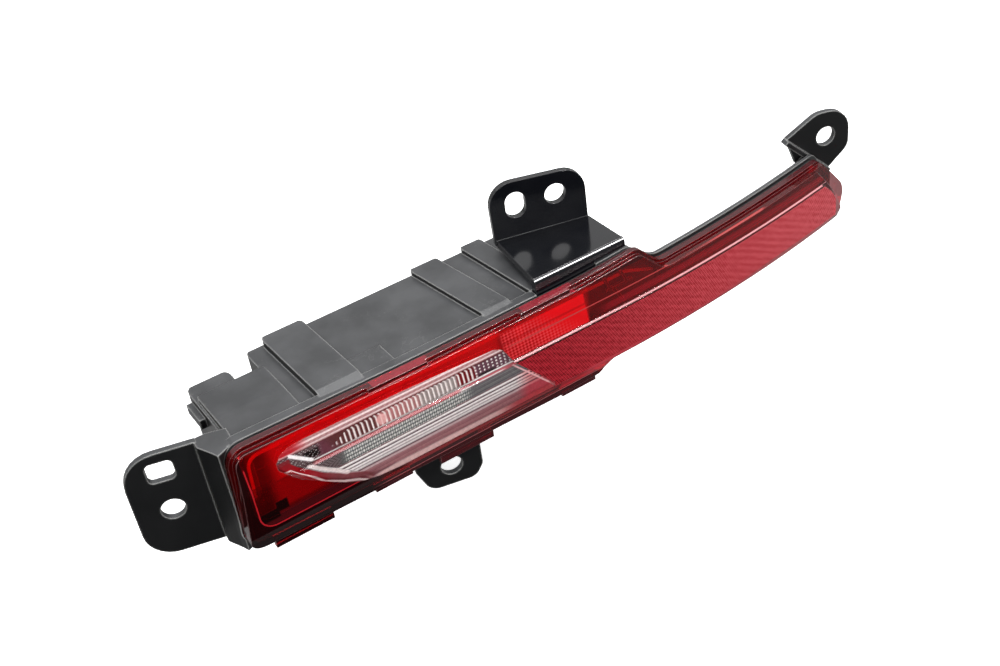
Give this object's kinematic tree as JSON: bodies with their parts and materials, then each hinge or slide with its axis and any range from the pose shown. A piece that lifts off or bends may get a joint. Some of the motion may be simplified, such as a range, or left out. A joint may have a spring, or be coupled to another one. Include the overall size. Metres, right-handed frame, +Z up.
{
  "type": "bumper lamp",
  "caption": "Slim rear bumper lamp: curved red lens with a clear window and reflex strip on a black moulded housing with fixing ears and a top bracket.",
  "frame": {"origin": "centre of the left ear's round hole, on the ear's front face", "axes": "+X along the plane of the ears to the lamp's right end, +Y to the rear, +Z up; the lens faces -Y and its line is turned 15.5 degrees about +Z"},
  "size_m": [0.3724, 0.1313, 0.1139],
  "materials": {
    "black_moulding": "fine grained, satin",
    "black_gloss": "glossy",
    "red_lens": "clear red, polished",
    "clear_lens": "clear, fluted",
    "reflex_red": "moulded prisms",
    "seal_black": "dull",
    "inner_black": "fine grained",
    "bright_tray": "metallised",
    "strip_grey": "smooth",
    "clip_clear": "natural, satin",
    "bulb_glass": "clear",
    "holder_black": "moulded",
    "seal_red": "dull",
    "contact_brass": "tinned",
    "vent_white": "porous"
  },
  "bodies": {
    "root": {"housing": "black_moulding", "top_bracket": "black_gloss", "outer_lens": "red_lens", "clear_window": "clear_lens", "reflex_plate": "reflex_red", "lens_seal": "seal_black", "bezel": "inner_black", "reflector_tray": "bright_tray", "tail_strip": "strip_grey", "tray_clips": "clip_clear", "end_clip": "clip_clear", "reverse_bulb": "bulb_glass", "reverse_bulb_holder": "holder_black", "reverse_holder_seal": "seal_red", "reverse_terminals": "contact_brass", "fog_bulb": "bulb_glass", "fog_bulb_holder": "holder_black", "fog_holder_seal": "seal_red", "fog_terminals": "contact_brass", "vent_cap": "inner_black", "vent_membrane": "vent_white"}
  },
  "joints": []
}
